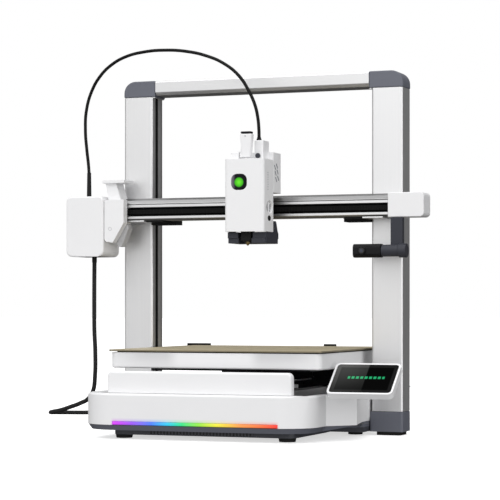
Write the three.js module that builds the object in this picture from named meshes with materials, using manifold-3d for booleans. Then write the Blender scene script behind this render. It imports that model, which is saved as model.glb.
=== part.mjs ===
// Desktop filament printer, in millimetres, +Z up.
// X runs across the machine, Y from front to back, and the floor is Z = 0.
// The plan is drawn about the mid-plane between the columns, with Y = 0 at their front faces, and the whole
// group is then moved so that its origin is the middle of its footprint.
import * as THREE from 'three';
import { mergeVertices } from 'three/addons/utils/BufferGeometryUtils.js';
import Module from 'manifold-3d';

const wasm = await Module();
wasm.setup();

// ---- driving dimensions -------------------------------------------------------------------------------
const GAP = 0.3;
const ORIGIN = { x: 11.75, y: 10.5 };

const COLUMN = { inner: 146.2, outer: 185.8, depth: 33.6, top: 425, wall: 3, corner: 3 };
const SLOT = { front: 9.8, back: 17 };
const FOOT_BLOCK = { bottom: 4.4, top: 29, inner: 143.4 };
const CAP = { reach: 43, top: 445.8, radius: 15 };
const TOP_BEAM = { bottom: 427, face: 430.9, top: 445.5, slope: 4 };

const BASE = { left: -163.3, right: 128, front: -187, rear: 166, side: 143, bottom: 17.6, top: 54.8, radius: 42 };
const WING = { x: 156, start: -121, front: -90, back: -39 };
const BASE_WALL = 3;
const TRAY = { top: 17.3, middle: 11.2, step: 10.4, bottom: 4.7, floor: 7.7 };
const BAR_PAD = { x: 122.7, y: 9, radius: 9 };
const PLINTH = { left: -130, right: 102, front: -160, rear: 150 };
const STEP = { left: -127, right: 105, front: -178, back: -168, top: 81 };
const LIGHT = { left: -116.3, right: 91.1, bottom: 17.9, top: 21.9, depth: 3 };
const RUBBER_FOOT = { radius: 10.5, left: -119, right: 89, front: -146, rear: 125 };

const SCREW = { x: 163, y: 13.4, radius: 4, bottom: 68.3, top: 424.7 };
const Z_MOTOR = { size: 20, bottom: 29.3, top: 68 };

const BED_SIZE = 270;
const BED = { y: -23, plateTop: 106, plate: 2, skirtBottom: 84, skirtTop: 102.6 };
const RAIL = { x: 76, width: 18, bottom: 17.6, top: 58, front: -148, rear: 161 };
const CARRIAGE_WING = { left: -64, middle: 47, right: 116 };
const CARRIAGE = { front: 31, back: 81, plateBottom: 65.9, plateTop: 69.1, half: 66 };

const PULLEY = { radius: 6, width: 7 };
const BELT = { inner: 6.3, outer: 7.7, width: 6 };
const Y_DRIVE = { front: -140, rear: 140, z: 42 };

const BEAM = { front: -32.3, back: -4.3, bottom: 265.9, top: 293.9, left: -171, right: 176.5 };
const BELT_SLOT = { bottom: 271.8, top: 282, back: -13.6 };
const CLAMP = { inner: 144, outer: 170.6, front: -31.2, back: -6, bottom: 264.2 };
const X_DRIVE = { left: -219, right: 204, y: -23.4, z: 276.9 };
const END_CAP = { left: 176.9, right: 221.7, front: -34, back: -3.8, bottom: 265, top: 294.6 };
const HUB = { left: -245.2, right: -193.3, front: -48, back: 1.3, bottom: 220.7, top: 297, radius: 7, wall: 1.8 };

const HEAD = { left: -12, right: 39, front: -90, back: -57, bottom: 247.8, top: 335.8 };
const SHOULDER = { left: -6.2, right: 4.3, front: -84, back: -61, top: 345 };
const NOZZLE = { x: 11.9, y: -73, tip: 231.2 };
const FITTING = { x: 23.5, y: -65, bottom: 359.2, top: 363 };
const TUBE_RADIUS = 2;
const CABLE_RADIUS = 2.75;
const CABLE_GLAND = { x: -143, y: 60, z: 19 };
const CABLE_EXIT = { x: -216.7, y: -24 };
const SLEEVE = { x: -224, y: -24, bottom: 297.3, top: 329, radius: 2.9 };

// Both cords follow points chosen by hand along their real route.
const TUBE_ROUTE = [
  [23.5, -65, 363.3], [23.3, -65, 372], [22, -65, 386], [18, -64, 402], [9, -63, 421], [-5, -60, 440],
  [-25, -57, 455.5], [-52, -52, 467.5], [-81, -48, 474.7], [-110, -43, 478], [-140, -38, 478],
  [-169, -34, 473.3], [-191, -30, 464], [-206, -28, 452], [-219, -26, 434], [-227.5, -25, 409],
  [-229.5, -24, 383], [-227.5, -24, 358], [-225.3, -24, 340], [-224.4, -24, 329.3],
];
const CABLE_ROUTE = [
  [-216.7, -24, 213.9], [-216.9, -24, 190], [-217, -24, 158], [-216.8, -24, 127], [-215.5, -24, 97],
  [-216, -24, 68], [-219, -23, 50], [-228, -19, 39], [-243, -12, 32.5], [-261, -4, 27], [-280, 6, 22],
  [-297, 17, 19], [-306, 30, 17.3], [-305, 43, 16.6], [-292, 54, 16.2], [-266, 60, 16.4], [-235, 61, 18],
  [-205, 60, 21.5], [-177, 60, 25.5], [-151.3, 60, 27],
];
const CAMERA = { left: 136.4, right: 171, front: -46, back: -30, y: -38, z: 224.5 };
const SCREEN = { x: 179.8, y: -138.8, z: 74.7, tilt: 38.7, width: 79, height: 54, thick: 8 };
const WINDOW = { left: -2.9, right: 16.6, bottom: 298.4, top: 317.2, radius: 7 };
const TAB = { left: [-145, -112], right: [46.7, 63.2], depth: 3.7, top: 108.6 };

// ---- materials ----------------------------------------------------------------------------------------
function finish(color, roughness, metalness) {
  return new THREE.MeshStandardMaterial({ color, roughness, metalness });
}
const white = () => finish(0xededee, 0.42, 0);
const slate = () => finish(0x5f616b, 0.55, 0);
const darkSlate = () => finish(0x2c2d34, 0.5, 0);
const black = () => finish(0x121214, 0.5, 0);
const rubber = () => finish(0x0b0b0c, 0.85, 0);
const aluminium = () => finish(0xc9cacb, 0.32, 0.9);
const steel = () => finish(0x8f9194, 0.35, 1);
const glass = () => finish(0x060708, 0.08, 0);
const brass = () => finish(0xb08d4a, 0.3, 1);
const circuit = () => finish(0x1f5a3a, 0.6, 0);
const texturedPlate = () => finish(0xa89f7c, 0.6, 0.4);
const lightStrip = () => finish(0x7fd0ff, 0.4, 0);

// ---- geometry helpers ---------------------------------------------------------------------------------
function slab(x0, x1, y0, y1, z0, z1) {
  const box = new THREE.BoxGeometry(Math.abs(x1 - x0), Math.abs(y1 - y0), Math.abs(z1 - z0));
  return box.translate((x0 + x1) / 2, (y0 + y1) / 2, (z0 + z1) / 2);
}

function outline(points) {
  return new THREE.Shape(points.map(([a, b]) => new THREE.Vector2(a, b)));
}

function roundRect(a0, a1, b0, b1, radius) {
  const shape = new THREE.Shape();
  shape.moveTo(a0 + radius, b0);
  shape.lineTo(a1 - radius, b0);
  shape.absarc(a1 - radius, b0 + radius, radius, -Math.PI / 2, 0);
  shape.lineTo(a1, b1 - radius);
  shape.absarc(a1 - radius, b1 - radius, radius, 0, Math.PI / 2);
  shape.lineTo(a0 + radius, b1);
  shape.absarc(a0 + radius, b1 - radius, radius, Math.PI / 2, Math.PI);
  shape.lineTo(a0, b0 + radius);
  shape.absarc(a0 + radius, b0 + radius, radius, Math.PI, 1.5 * Math.PI);
  return shape;
}

function extrude(shape, length) {
  return new THREE.ExtrudeGeometry(shape, { depth: length, bevelEnabled: false, curveSegments: 4 });
}

// A shape of (x, y) points raised from z0 to z1.
function extrudeZ(shape, z0, z1) {
  return extrude(shape, z1 - z0).translate(0, 0, z0);
}

// A shape of (y, z) points drawn out from x0 to x1.
function extrudeX(shape, x0, x1) {
  const turn = new THREE.Matrix4().makeBasis(
    new THREE.Vector3(0, 1, 0), new THREE.Vector3(0, 0, 1), new THREE.Vector3(1, 0, 0));
  return extrude(shape, x1 - x0).applyMatrix4(turn).translate(x0, 0, 0);
}

// A shape of (x, z) points drawn out from y0 to y1.
function extrudeY(shape, y0, y1) {
  const turn = new THREE.Matrix4().makeBasis(
    new THREE.Vector3(1, 0, 0), new THREE.Vector3(0, 0, 1), new THREE.Vector3(0, -1, 0));
  return extrude(shape, y1 - y0).applyMatrix4(turn).translate(0, y1, 0);
}

function cylinder(axis, centre, radius, length, segments = 16) {
  const rod = new THREE.CylinderGeometry(radius, radius, length, segments);
  if (axis === 'x') rod.rotateZ(Math.PI / 2);
  if (axis === 'z') rod.rotateX(Math.PI / 2);
  return rod.translate(...centre);
}

// A solid through rings of points: ring i lies at height heights[i], and all have the same number of points.
function loft(rings, heights) {
  const count = rings[0].length;
  const positions = rings.flatMap((ring, level) => ring.flatMap(([x, y]) => [x, y, heights[level]]));
  const index = [];
  for (let level = 0; level < rings.length - 1; level++) {
    for (let i = 0; i < count; i++) {
      const a = level * count + i;
      const b = level * count + (i + 1) % count;
      index.push(a, b, b + count, a, b + count, a + count);
    }
  }
  const flat = (ring) => ring.map(([x, y]) => new THREE.Vector2(x, y));
  const last = (rings.length - 1) * count;
  for (const [a, b, c] of THREE.ShapeUtils.triangulateShape(flat(rings[0]), [])) {
    index.push(a, c, b);
  }
  for (const [a, b, c] of THREE.ShapeUtils.triangulateShape(flat(rings.at(-1)), [])) {
    index.push(last + a, last + b, last + c);
  }
  const geometry = new THREE.BufferGeometry();
  geometry.setAttribute('position', new THREE.Float32BufferAttribute(positions, 3));
  geometry.setIndex(index);
  return geometry;
}

function toSolid(geometry) {
  const bare = new THREE.BufferGeometry();
  bare.setAttribute('position', geometry.getAttribute('position'));
  bare.setIndex(geometry.getIndex());
  const merged = mergeVertices(bare, 1e-4);
  return new wasm.Manifold(new wasm.Mesh({
    numProp: 3,
    vertProperties: new Float32Array(merged.getAttribute('position').array),
    triVerts: new Uint32Array(merged.getIndex().array),
  }));
}

function toGeometry(solid) {
  const mesh = solid.getMesh();
  const geometry = new THREE.BufferGeometry();
  geometry.setAttribute('position', new THREE.Float32BufferAttribute(mesh.vertProperties, 3));
  geometry.setIndex(new THREE.Uint32BufferAttribute(mesh.triVerts, 1));
  return geometry;
}

function cut(geometry, ...tools) {
  return toGeometry(tools.reduce((solid, tool) => solid.subtract(toSolid(tool)), toSolid(geometry)));
}

function join(geometry, ...others) {
  return toGeometry(others.reduce((solid, other) => solid.add(toSolid(other)), toSolid(geometry)));
}

const printer = new THREE.Group();
printer.position.set(ORIGIN.x, ORIGIN.y, 0);

function part(name, geometry, material) {
  const mesh = new THREE.Mesh(geometry, material);
  mesh.name = name;
  printer.add(mesh);
  return mesh;
}

const SIDES = [['left', -1], ['right', 1]];

// ---- base ---------------------------------------------------------------------------------------------
function arc(x, y, radius, start, steps = 6) {
  return Array.from({ length: steps + 1 }, (_, i) => {
    const angle = start + (Math.PI / 2) * (i / steps);
    return [x + radius * Math.cos(angle), y + radius * Math.sin(angle)];
  });
}

// The base's plan: round front corners, a wing that flares out on the right, and straight sides at the back.
function basePlan({ left, right, front, rear, radius, wing, side }) {
  return [
    ...arc(left + radius, front + radius, radius, Math.PI),
    ...arc(right - radius, front + radius, radius, 1.5 * Math.PI),
    [right, WING.start], [wing, WING.front], [wing, WING.back], [side, WING.back],
    [side, rear], [-side, rear], [-side, -10], [left, -10],
  ];
}

function baseShell() {
  const plan = { ...BASE, wing: WING.x };
  const inner = {
    left: BASE.left + BASE_WALL,
    right: BASE.right - BASE_WALL,
    front: BASE.front + BASE_WALL,
    rear: BASE.rear - BASE_WALL,
    radius: BASE.radius - BASE_WALL,
    wing: BASE.right - BASE_WALL + 1,
    side: BASE.side - BASE_WALL,
  };
  const outer = extrudeZ(outline(basePlan(plan)), BASE.bottom, BASE.top);
  const hollow = extrudeZ(outline(basePlan(inner)), BASE.bottom - 1, BASE.top - BASE_WALL);
  const bayTop = slab(-137, 121, STEP.back + 1.5, BASE.rear - BASE_WALL, BASE.top - 5, BASE.top + 1);
  const lightSlot = slab(LIGHT.left - GAP, LIGHT.right + GAP, BASE.front - 1, BASE.front + LIGHT.depth + GAP,
    BASE.bottom - 1, LIGHT.top + GAP);
  const inletHole = slab(-62.3, -7.7, BASE.rear - 5, BASE.rear + 1, 21.7, 48.3);
  const glandHole = cylinder('x', [-BASE.side, CABLE_GLAND.y, CABLE_GLAND.z + 8], 5.3, 12, 12);
  return cut(outer, hollow, bayTop, lightSlot, inletHole, glandHole);
}

function baseTray() {
  const inset = (d) => ({
    left: BASE.left + d, right: BASE.right - d, front: BASE.front + d, rear: BASE.rear - d,
    radius: BASE.radius - d, wing: WING.x - d, side: BASE.side - d,
  });
  const plinth = { ...PLINTH, radius: 14, wing: PLINTH.right + 0.5, side: PLINTH.right - 0.5 };
  const rings = [basePlan(plinth), basePlan(plinth), basePlan({ ...inset(5), wing: 126 }), basePlan(inset(0.6))];
  const body = loft(rings, [TRAY.bottom, TRAY.step, TRAY.middle, TRAY.top]);
  const crossBar = slab(-142.8, 142.8, -25, COLUMN.depth, TRAY.bottom, TRAY.top);
  const pocket = slab(-63, 61, PLINTH.front + 6, PLINTH.rear - 4, TRAY.floor, TRAY.top + 2);
  const pads = [-BAR_PAD.x, BAR_PAD.x].map((x) =>
    cylinder('z', [x, BAR_PAD.y, TRAY.bottom / 2 + 0.5], BAR_PAD.radius, TRAY.bottom + 1));
  return cut(join(body, crossBar, ...pads), pocket);
}

function stepCover() {
  const outer = extrudeY(roundRect(STEP.left, STEP.right, BASE.top - 10, STEP.top, 6), STEP.front, STEP.back);
  const below = slab(STEP.left - 1, STEP.right + 1, STEP.front - 1, STEP.back + 1, BASE.top - 11, BASE.top + GAP);
  const hollow = slab(STEP.left + 5, STEP.right - 5, STEP.front + 2.5, STEP.back + 1, BASE.top - 1, STEP.top - 2.5);
  return cut(outer, below, hollow);
}

function onScreen(geometry) {
  return geometry.rotateX(THREE.MathUtils.degToRad(SCREEN.tilt)).translate(SCREEN.x, SCREEN.y, SCREEN.z);
}

function screenHousing() {
  const { width, height, thick } = SCREEN;
  const panel = extrude(roundRect(-width / 2, width / 2, -height / 2, height / 2, 6), thick);
  const recess = extrude(roundRect(-width / 2 + 2.3, width / 2 - 2.3, -height / 2 + 2.4, height / 2 - 2.2, 4), 3);
  const arm = outline([[-106, 55.1], [-80, 55.1], [-84, 74], [-113.5, 85.8], [-122, 79.5], [-112, 68]]);
  const body = join(onScreen(panel.translate(0, 0, -thick)), extrudeX(arm, 141.5, 178));
  return cut(body, onScreen(recess.translate(0, 0, -1.2)));
}

function screenGlass() {
  const { width, height } = SCREEN;
  const shape = roundRect(-width / 2 + 2.6, width / 2 - 2.6, -height / 2 + 2.7, height / 2 - 2.5, 3.7);
  return onScreen(extrude(shape, 0.9).translate(0, 0, -0.9));
}

function addBase() {
  part('base_shell', baseShell(), white());
  part('base_tray', baseTray(), slate());
  part('step_cover', stepCover(), white());
  part('light_bar', slab(LIGHT.left, LIGHT.right, BASE.front, BASE.front + LIGHT.depth,
    LIGHT.bottom, LIGHT.top), lightStrip());
  for (const [side] of SIDES) {
    for (const end of ['front', 'rear']) {
      const centre = [RUBBER_FOOT[side], RUBBER_FOOT[end], (TRAY.bottom - GAP) / 2];
      part(`foot_${end}_${side}`, cylinder('z', centre, RUBBER_FOOT.radius, TRAY.bottom - GAP), rubber());
    }
  }
  part('screen_housing', screenHousing(), white());
  part('screen_glass', screenGlass(), glass());
}

// ---- electronics and the Y drive ----------------------------------------------------------------------
// A closed belt around two pulleys, drawn in the plane (along, across) between the two centres.
function beltLoop(start, end, across) {
  const loop = new THREE.Shape();
  loop.absarc(end, across, BELT.outer, -Math.PI / 2, Math.PI / 2);
  loop.absarc(start, across, BELT.outer, Math.PI / 2, 1.5 * Math.PI);
  loop.closePath();
  const hole = new THREE.Path();
  hole.absarc(end, across, BELT.inner, -Math.PI / 2, Math.PI / 2);
  hole.absarc(start, across, BELT.inner, Math.PI / 2, 1.5 * Math.PI);
  hole.closePath();
  loop.holes.push(hole);
  return loop;
}

function addElectronics() {
  part('power_supply', slab(-62, -12, -120, 60, 8, 32), steel());
  part('main_board', slab(12, 60, -120, 30, 11, 18), circuit());
  const inlet = slab(-62, -8, BASE.rear - 18, BASE.rear, 22, 48);
  const socket = slab(-57, -35, BASE.rear - 14, BASE.rear + 1, 28, 42);
  const rockerWell = slab(-25.5, -10.5, BASE.rear - 12, BASE.rear + 1, 26, 44);
  part('power_inlet', cut(inlet, socket, rockerWell), black());
  part('cable_gland', cylinder('x', [-BASE.side - 1, CABLE_GLAND.y, CABLE_GLAND.z + 8], 5, 14, 12), rubber());
  part('y_motor', slab(9, 43, Y_DRIVE.rear - 21, Y_DRIVE.rear + 21, Y_DRIVE.z - 21, Y_DRIVE.z + 21), black());
  part('y_belt', extrudeX(beltLoop(Y_DRIVE.front, Y_DRIVE.rear, Y_DRIVE.z), -3, 3), rubber());
  for (const [side, s] of SIDES) {
    const x = s * RAIL.x;
    const w = RAIL.width / 2;
    const rail = slab(x - w, x + w, RAIL.front, RAIL.rear, RAIL.bottom, RAIL.top);
    const groove = slab(x - 3, x + 3, RAIL.front - 1, RAIL.rear + 1, RAIL.top - 5, RAIL.top + 1);
    part(`y_rail_${side}`, cut(rail, groove), aluminium());
  }
}

function addSwitchAndPulley() {
  const rocker = outline([
    [BASE.rear - 9, 27], [BASE.rear - 1.5, 27], [BASE.rear - 0.2, 35], [BASE.rear - 1.5, 43], [BASE.rear - 9, 43],
  ]);
  part('power_switch', extrudeX(rocker, -25, -11), black());
  part('y_pulley', cylinder('x', [0, Y_DRIVE.rear, Y_DRIVE.z], PULLEY.radius, PULLEY.width), steel());
}

// ---- frame --------------------------------------------------------------------------------------------
// The column is a channel whose slot faces inwards; the lead screw runs inside it.
function column(s) {
  const { inner, outer, depth, wall, corner } = COLUMN;
  const tube = extrudeZ(roundRect(inner, outer, 0, depth, corner), FOOT_BLOCK.top + GAP, COLUMN.top);
  const bore = slab(inner + wall, outer - wall, wall, depth - wall, 0, COLUMN.top + 10);
  const slot = slab(inner - 1, inner + wall + 1, SLOT.front, SLOT.back, 0, COLUMN.top + 10);
  const solid = cut(tube, bore, slot);
  return s > 0 ? solid : mirrorX(solid);
}

function mirrorX(geometry) {
  const flipped = geometry.clone().scale(-1, 1, 1);
  const index = geometry.getIndex().array.slice();
  for (let i = 0; i < index.length; i += 3) {
    [index[i], index[i + 1]] = [index[i + 1], index[i]];
  }
  return flipped.setIndex(new THREE.Uint32BufferAttribute(index, 1));
}

function columnFoot(s) {
  const { outer, depth } = COLUMN;
  const { bottom, top, inner } = FOOT_BLOCK;
  const block = extrudeZ(roundRect(inner, outer + 0.2, -0.2, depth + 0.2, 3), bottom, top);
  const pad = extrudeZ(roundRect(151, 182.6, 2, 32, 5), 0, bottom + 1);
  const solid = join(block, pad);
  return s > 0 ? solid : mirrorX(solid);
}

function cornerCap(s) {
  const { outer, depth } = COLUMN;
  const left = outer + 0.2 - CAP.reach;
  const face = new THREE.Shape();
  face.moveTo(left, COLUMN.top + GAP);
  face.lineTo(outer + 0.2, COLUMN.top + GAP);
  face.lineTo(outer + 0.2, CAP.top - CAP.radius);
  face.absarc(outer + 0.2 - CAP.radius, CAP.top - CAP.radius, CAP.radius, 0, Math.PI / 2);
  face.lineTo(left, CAP.top);
  const solid = join(extrudeY(face, -0.2, depth + 0.2));
  return s > 0 ? solid : mirrorX(solid);
}

function topBeam() {
  const half = COLUMN.outer + 0.2 - CAP.reach - GAP;
  const { bottom, face, top, slope } = TOP_BEAM;
  const section = outline([
    [0, face], [slope, bottom], [COLUMN.depth, bottom], [COLUMN.depth, top - 1.5], [COLUMN.depth - 1.5, top],
    [1.5, top], [0, top - 1.5],
  ]);
  return extrudeX(section, -half, half);
}

function addFrame() {
  for (const [side, s] of SIDES) {
    part(`column_foot_${side}`, columnFoot(s), slate());
    part(`column_${side}`, column(s), aluminium());
    part(`corner_cap_${side}`, cornerCap(s), slate());
    const half = Z_MOTOR.size / 2;
    part(`z_motor_${side}`, slab(s * SCREW.x - half, s * SCREW.x + half, SCREW.y - half, SCREW.y + half,
      Z_MOTOR.bottom, Z_MOTOR.top), black());
    const middle = (SCREW.bottom + SCREW.top) / 2;
    part(`lead_screw_${side}`, cylinder('z', [s * SCREW.x, SCREW.y, middle], SCREW.radius,
      SCREW.top - SCREW.bottom, 12), steel());
  }
  part('top_beam', topBeam(), aluminium());
}

// ---- bed ----------------------------------------------------------------------------------------------
function bedCarriage() {
  const plate = slab(-CARRIAGE.half, CARRIAGE.half, CARRIAGE.front, CARRIAGE.back,
    CARRIAGE.plateBottom, CARRIAGE.plateTop);
  const sliders = [-1, 1].map((s) => slab(s * RAIL.x - 16, s * RAIL.x + 16, CARRIAGE.front, CARRIAGE.back,
    RAIL.top + GAP, CARRIAGE.plateTop));
  const clamp = slab(-4.5, 4.5, CARRIAGE.front + 10, CARRIAGE.back - 10, Y_DRIVE.z + BELT.outer + GAP,
    CARRIAGE.plateBottom + 1);
  const posts = [-1, 1].map((s) => slab(s * 50 - 9, s * 50 + 9, CARRIAGE.front, CARRIAGE.back,
    CARRIAGE.plateTop - 1, BED.skirtBottom + 2));
  const { left, middle, right } = CARRIAGE_WING;
  const wing = slab(middle, right, CARRIAGE.front + 2, CARRIAGE.back - 2, RAIL.top + 1.5, BED.skirtBottom + 1.6);
  const web = slab(left, middle + 1, CARRIAGE.front + 2, CARRIAGE.front + 8, CARRIAGE.plateTop - 1,
    BED.skirtBottom + 1.6);
  return join(plate, ...sliders, clamp, ...posts, wing, web);
}

// A white rim around the heated bed, open below and above.
function bedSkirt() {
  const half = BED_SIZE / 2 - 1.5;
  const rim = roundRect(-half, half, BED.y - half, BED.y + half, 9);
  const opening = roundRect(-half + 5, half - 5, BED.y - half + 5, BED.y + half - 5, 6);
  const outer = extrudeZ(rim, BED.skirtBottom, BED.skirtTop);
  return cut(outer, extrudeZ(opening, BED.skirtBottom - 1, BED.skirtTop + 1));
}

function heatBed() {
  const half = BED_SIZE / 2 - 1.5 - 5 - GAP;
  const rear = BED.y + BED_SIZE / 2;
  const lip = BED.plateTop - BED.plate - GAP;
  const body = extrudeZ(roundRect(-half, half, BED.y - half, BED.y + half, 6), BED.skirtBottom + 2.3, lip);
  const tabs = [TAB.left, TAB.right].map(([x0, x1]) => slab(x0, x1, rear + GAP, rear + TAB.depth,
    lip - 0.8, TAB.top));
  const bridges = [TAB.left, TAB.right].map(([x0, x1]) => slab(x0, x1, rear - 12, rear + TAB.depth,
    lip - 0.8, lip));
  const mat = slab(-83, 118, BED.y - half + 3, -40, 81.7, BED.skirtBottom + 3);
  return join(body, mat, ...tabs, ...bridges);
}

function buildPlate() {
  const half = BED_SIZE / 2;
  return slab(-half, half, BED.y - half, BED.y + half, BED.plateTop - BED.plate, BED.plateTop);
}

function addBed() {
  part('bed_carriage', bedCarriage(), aluminium());
  part('heat_bed', heatBed(), black());
  part('bed_skirt', bedSkirt(), white());
  part('build_plate', buildPlate(), texturedPlate());
}

// ---- gantry -------------------------------------------------------------------------------------------
function xBeam() {
  const { front, back, bottom, top } = BEAM;
  const section = outline([
    [front, BELT_SLOT.bottom], [front, bottom + 2.4], [front + 2.4, bottom], [back, bottom], [back, top],
    [front + 6, top], [front + 2.4, top - 2.6], [front, top - 7], [front, BELT_SLOT.top],
    [BELT_SLOT.back, BELT_SLOT.top], [BELT_SLOT.back, BELT_SLOT.bottom],
  ]);
  const clamps = [[-CLAMP.outer, -CLAMP.inner], [CLAMP.inner, CLAMP.outer]].map(([x0, x1]) => slab(
    x0, x1, CLAMP.front, CLAMP.back, CLAMP.bottom, bottom + 1));
  return join(extrudeX(section, BEAM.left, BEAM.right), ...clamps);
}

function endCap() {
  const { left, right, front, back, bottom, top } = END_CAP;
  const body = extrudeY(roundRect(left, right, bottom, top, 5), front, back);
  const square = slab(left, left + 8, front, back, bottom, top);
  const cavity = slab(left - 1, X_DRIVE.right + 10, front + 2, -13, BELT_SLOT.bottom, BELT_SLOT.top);
  return cut(join(body, square), cavity);
}

function hubBox() {
  const { left, right, front, back, bottom, top, radius, wall } = HUB;
  const body = extrudeY(roundRect(left, right, bottom, top, radius), front, back);
  const gland = cylinder('z', [CABLE_EXIT.x, CABLE_EXIT.y, bottom - 2.5], 5, 8, 12);
  const inside = slab(left + wall, right - wall, front + wall, back - wall, bottom + 12, top - 6);
  const window = slab(right - 5, right + 1, BEAM.front - 1, BELT_SLOT.back + 0.5, BELT_SLOT.bottom, BELT_SLOT.top);
  return cut(join(body, gland), inside, window);
}

// The bracket joins the control box to the beam, and carries a slanted arm with a flat plate on top.
function leftBracket() {
  const body = outline([
    [-193, 292.3], [-193, 243], [-189, 238], [-184.5, 238], [-175.5, 262], [-171.4, 265], [-171.4, 292.3],
  ]);
  const face = outline([
    [-192.5, 292.2], [-192.5, 242.7], [-190.3, 239.3], [-181, 238.2], [-166, 262.6], [-166, 292.2],
  ]);
  const arm = outline([[-195.5, 314], [-181, 314], [-174, 292], [-191, 292]]);
  const plate = slab(-198.4, -168, -40, -10, 313.7, 317.4);
  const beltWay = slab(-194, -171, -34, BELT_SLOT.back + 0.5, BELT_SLOT.bottom, BELT_SLOT.top);
  const solid = join(extrudeY(body, -36, -8), extrudeY(face, -46, -34.6), extrudeY(arm, -36, -14), plate);
  return cut(solid, beltWay);
}

function latchLever() {
  const lever = outline([[-173.2, 261.5], [-166.5, 261.5], [-164.5, 256], [-174, 233.5], [-178, 233], [-181.5, 236.5]]);
  return extrudeY(lever, -34, -20);
}

function zCarriage(s) {
  const back = slab(112, COLUMN.inner - GAP, BEAM.back + GAP, SLOT.back, 261.3, 292);
  const shelf = slab(119, 143, -28, BEAM.back + 1, CLAMP.bottom, BEAM.bottom - GAP);
  const tongue = slab(140, SCREW.x - 6, SLOT.front + GAP, SLOT.back - GAP, 268, 290);
  const nut = cylinder('z', [SCREW.x, SCREW.y, 279], 8.6, 22);
  const hole = cylinder('z', [SCREW.x, SCREW.y, 279], SCREW.radius + 0.5, 30, 12);
  const solid = cut(join(back, shelf, tongue, nut), hole);
  return s > 0 ? solid : mirrorX(solid);
}

function cameraArm() {
  const strap = slab(181, 196, -36, -28, CAMERA.z - 2, END_CAP.bottom - GAP);
  const barrel = cylinder('x', [182, CAMERA.y, CAMERA.z], 7.2, 21.4);
  const knob = cylinder('x', [197.4, CAMERA.y, CAMERA.z], 8.5, 9.6);
  return join(strap, barrel, knob);
}

function cameraModule() {
  const { left, right, front, back, z } = CAMERA;
  const body = extrudeX(roundRect(front, back, z - 8.2, z + 8.2, 5), left, right);
  const lens = cylinder('y', [left + 12, front - 0.8, z], 5, 2.6, 12);
  return join(body, lens);
}

function addGantry() {
  part('x_beam', xBeam(), aluminium());
  part('end_cap_right', endCap(), white());
  part('left_bracket', leftBracket(), white());
  part('hub_box', hubBox(), white());
  part('tube_sleeve', cylinder('z', [SLEEVE.x, SLEEVE.y, (SLEEVE.bottom + SLEEVE.top) / 2], SLEEVE.radius,
    SLEEVE.top - SLEEVE.bottom, 10), rubber());
  part('x_motor', slab(X_DRIVE.left - 20, X_DRIVE.left + 20, X_DRIVE.y - 20, X_DRIVE.y + 20, 234, 268), black());
  part('x_belt', extrudeZ(beltLoop(X_DRIVE.left, X_DRIVE.right, X_DRIVE.y), X_DRIVE.z - BELT.width / 2,
    X_DRIVE.z + BELT.width / 2), rubber());
  for (const [side, s] of SIDES) part(`z_carriage_${side}`, zCarriage(s), black());
  part('camera_arm', cameraArm(), slate());
  part('x_pulley', cylinder('z', [X_DRIVE.left, X_DRIVE.y, X_DRIVE.z], PULLEY.radius, PULLEY.width), steel());
  part('latch_lever', latchLever(), finish(0xb4b5b7, 0.5, 0));
  part('camera_module', cameraModule(), black());
}

// ---- toolhead -----------------------------------------------------------------------------------------
function headCover() {
  const { left, right, front, back, bottom, top } = HEAD;
  const body = extrudeZ(roundRect(left, right, front, back + 6, 4), bottom, top);
  const behind = slab(left - 1, right + 1, back, back + 10, bottom - 1, top + 1);
  const inside = slab(left + 2.5, right - 2.5, front + 2.5, back + 1, bottom - 1, top - 2.5);
  const { radius } = WINDOW;
  const opening = extrudeY(roundRect(WINDOW.left - GAP, WINDOW.right + GAP, WINDOW.bottom - GAP,
    WINDOW.top + GAP, radius + GAP), front - 1, front + 4);
  const shoulder = slab(SHOULDER.left, SHOULDER.right, SHOULDER.front, SHOULDER.back, top - 1, SHOULDER.top);
  return join(cut(body, behind, inside, opening), shoulder);
}

function headBack() {
  const block = slab(4, HEAD.right, HEAD.back + GAP, -29.7, BEAM.top + 2, 345.5);
  const hood = slab(20.8, 32.2, -74, HEAD.back + 4, HEAD.top + GAP, 358.9);
  return join(block, hood);
}

function headCarriage() {
  const plate = slab(-8, 27, HEAD.back + GAP, BEAM.front - GAP, 250, BEAM.top + 1.7);
  const housing = slab(-7, 17, -70, HEAD.back, 262, 332);
  const bridge = slab(-5, 15, HEAD.back - 1, HEAD.back + 2, 264, 290);
  return join(plate, housing, bridge);
}

function releaseLever() {
  const side = [[5, HEAD.top + 1.7], [22.5, HEAD.top + 1.7], [20.5, 366], [7, 366]];
  const block = extrudeY(outline(side), -86, -77);
  const bar = slab(7.6, 20.2, -85, -78, 365, 368.8);
  return join(block, bar);
}

function fanDuct() {
  const top = slab(HEAD.left + 1, HEAD.right, -82, -38, 240, HEAD.bottom - GAP);
  const lower = slab(HEAD.left + 1, HEAD.right, -80, -40, 234, 241);
  const cheek = outline([
    [-56.4, 246], [-38.2, 246], [-41.5, 251], [-45, 259.5], [-47, 261.6], [-51.5, 261.6], [-56.4, 254],
  ]);
  const notch = slab(2.5, 21.5, -90, -62, 230, 250);
  return cut(join(top, lower, extrudeX(cheek, 30, HEAD.right)), notch);
}

function hotEnd() {
  const block = slab(5.4, 18.4, -80, -66.2, 237, 249);
  const heatBreak = cylinder('z', [NOZZLE.x, NOZZLE.y, 254], 3, 14, 10);
  const profile = [[0, NOZZLE.tip], [0.8, NOZZLE.tip], [3.4, 234.6], [3.4, 238], [0, 238]];
  const nozzle = new THREE.LatheGeometry(profile.map(([r, z]) => new THREE.Vector2(r, z)), 12);
  nozzle.rotateX(Math.PI / 2).translate(NOZZLE.x, NOZZLE.y, 0);
  return join(block, heatBreak, nozzle);
}

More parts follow.
